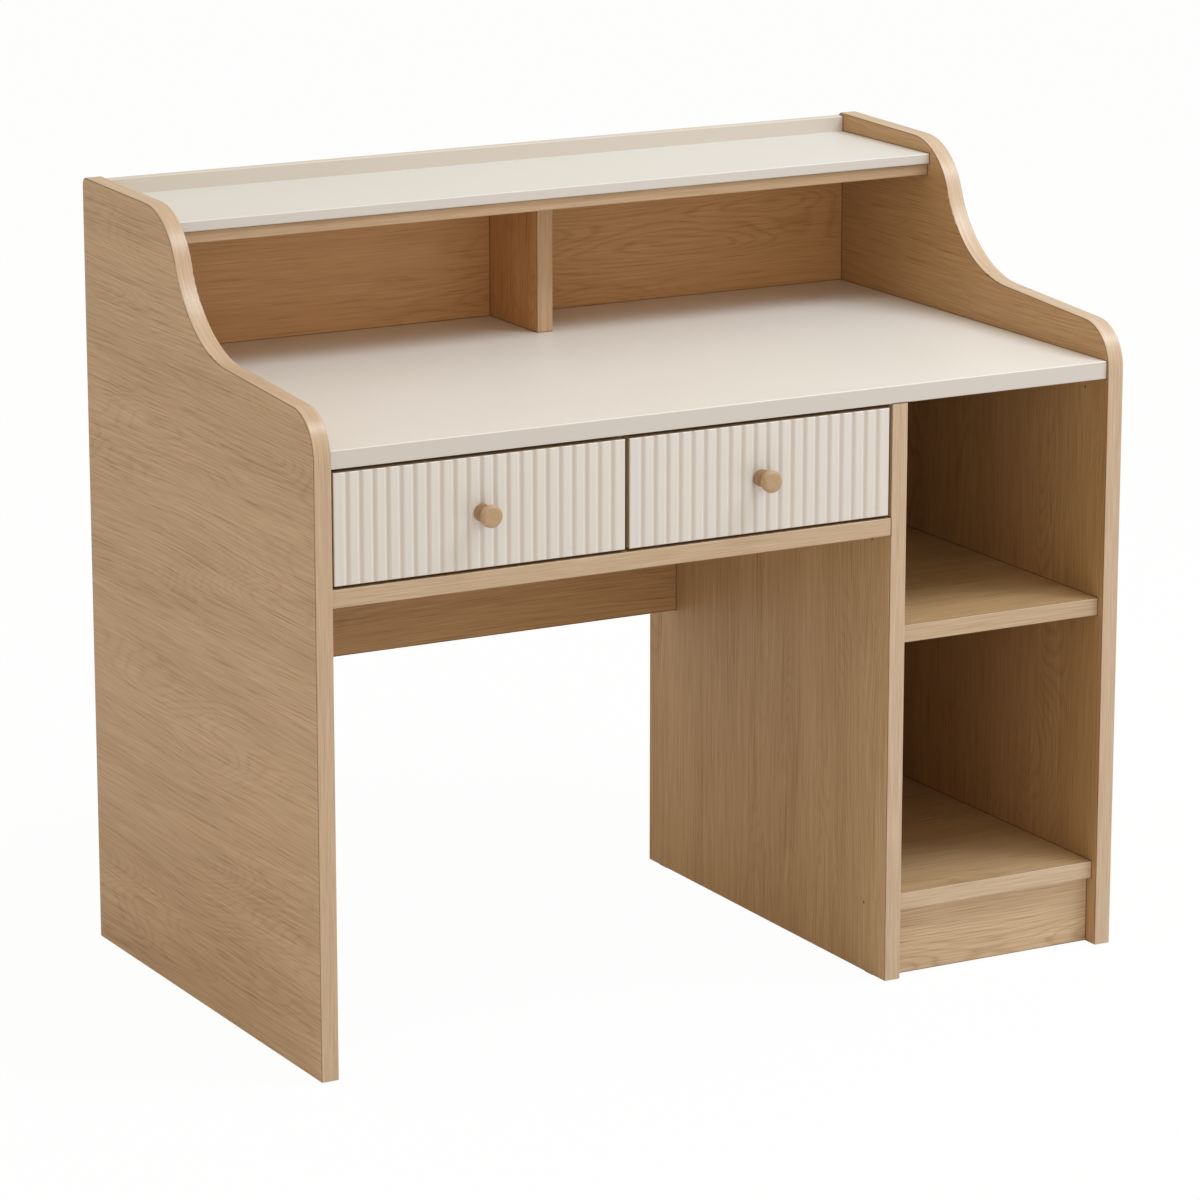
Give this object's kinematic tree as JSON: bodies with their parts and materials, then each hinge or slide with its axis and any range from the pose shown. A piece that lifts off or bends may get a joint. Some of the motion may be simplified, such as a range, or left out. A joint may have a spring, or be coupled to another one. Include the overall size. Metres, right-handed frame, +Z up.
{
  "type": "student desk with hutch",
  "caption": "Student desk with swept side panels, a low open hutch, fluted drawers side by side and an open cubby with a shelf beside the knee space.",
  "frame": {"origin": "on the floor under the middle of the overall bounding box, knobs included", "axes": "+X to the sitter's right, +Y from the sitter to the rear edge, +Z up"},
  "size_m": [1.1, 0.665, 0.972],
  "materials": {
    "oak_board": "satin oak foil on board, with matching edge banding",
    "cream_laminate": "smooth off-white laminate on board",
    "knob_wood": "turned light wood, satin",
    "drawer_board": "plain melamine board",
    "dowel_wood": "raw beech",
    "slide_steel": "zinc plated, bright",
    "screw_steel": "zinc plated",
    "cast_zinc": "die-cast zinc",
    "glide_plastic": "dark moulded plastic"
  },
  "bodies": {
    "desk": {"cam_bolts": "cast_zinc", "cam_locks": "cast_zinc", "cubby_back_panel": "oak_board", "cubby_back_screws": "screw_steel", "cubby_bottom_board": "oak_board", "cubby_plinth": "oak_board", "cubby_shelf": "oak_board", "desk_top": "cream_laminate", "drawer_divider_panel": "oak_board", "drawer_floor_board": "oak_board", "floor_glides": "glide_plastic", "gallery_dowels": "dowel_wood", "hutch_back_panel": "oak_board", "hutch_divider": "oak_board", "hutch_gallery_rail": "cream_laminate", "hutch_shelf_board": "oak_board", "hutch_top_board": "cream_laminate", "hutch_top_screws": "screw_steel", "left_drawer_cabinet_slide_left": "slide_steel", "left_drawer_cabinet_slide_right": "slide_steel", "left_drawer_cabinet_slide_screws": "screw_steel", "left_side_panel": "oak_board", "partition_panel": "oak_board", "rear_modesty_rail": "oak_board", "right_drawer_cabinet_slide_left": "slide_steel", "right_drawer_cabinet_slide_right": "slide_steel", "right_drawer_cabinet_slide_screws": "screw_steel", "right_side_panel": "oak_board", "wood_dowels": "dowel_wood"},
    "left_drawer": {"left_drawer_back": "drawer_board", "left_drawer_back_screws": "screw_steel", "left_drawer_bottom": "drawer_board", "left_drawer_box_slide_left": "slide_steel", "left_drawer_box_slide_right": "slide_steel", "left_drawer_box_slide_screws": "screw_steel", "left_drawer_front": "cream_laminate", "left_drawer_front_dowels": "dowel_wood", "left_drawer_knob": "knob_wood", "left_drawer_knob_screw": "screw_steel", "left_drawer_left_side": "drawer_board", "left_drawer_right_side": "drawer_board"},
    "left_drawer_left_runner": {"left_drawer_middle_slide_left": "slide_steel"},
    "left_drawer_right_runner": {"left_drawer_middle_slide_right": "slide_steel"},
    "right_drawer": {"right_drawer_back": "drawer_board", "right_drawer_back_screws": "screw_steel", "right_drawer_bottom": "drawer_board", "right_drawer_box_slide_left": "slide_steel", "right_drawer_box_slide_right": "slide_steel", "right_drawer_box_slide_screws": "screw_steel", "right_drawer_front": "cream_laminate", "right_drawer_front_dowels": "dowel_wood", "right_drawer_knob": "knob_wood", "right_drawer_knob_screw": "screw_steel", "right_drawer_left_side": "drawer_board", "right_drawer_right_side": "drawer_board"},
    "right_drawer_left_runner": {"right_drawer_middle_slide_left": "slide_steel"},
    "right_drawer_right_runner": {"right_drawer_middle_slide_right": "slide_steel"}
  },
  "joints": [
    {"name": "left_drawer_slide", "type": "slide", "parent": "desk", "child": "left_drawer", "axis": [0, -1, 0], "range_m": [0, 0.4]},
    {"name": "left_drawer_left_runner_slide", "type": "slide", "parent": "desk", "child": "left_drawer_left_runner", "axis": [0, -1, 0], "range_m": [0, 0.2]},
    {"name": "left_drawer_right_runner_slide", "type": "slide", "parent": "desk", "child": "left_drawer_right_runner", "axis": [0, -1, 0], "range_m": [0, 0.2]},
    {"name": "right_drawer_slide", "type": "slide", "parent": "desk", "child": "right_drawer", "axis": [0, -1, 0], "range_m": [0, 0.4]},
    {"name": "right_drawer_left_runner_slide", "type": "slide", "parent": "desk", "child": "right_drawer_left_runner", "axis": [0, -1, 0], "range_m": [0, 0.2]},
    {"name": "right_drawer_right_runner_slide", "type": "slide", "parent": "desk", "child": "right_drawer_right_runner", "axis": [0, -1, 0], "range_m": [0, 0.2]}
  ],
  "couplings": [
    {"joint": "left_drawer_left_runner_slide", "follows": "left_drawer_slide", "ratio": 0.5},
    {"joint": "left_drawer_right_runner_slide", "follows": "left_drawer_slide", "ratio": 0.5},
    {"joint": "right_drawer_left_runner_slide", "follows": "right_drawer_slide", "ratio": 0.5},
    {"joint": "right_drawer_right_runner_slide", "follows": "right_drawer_slide", "ratio": 0.5}
  ]
}
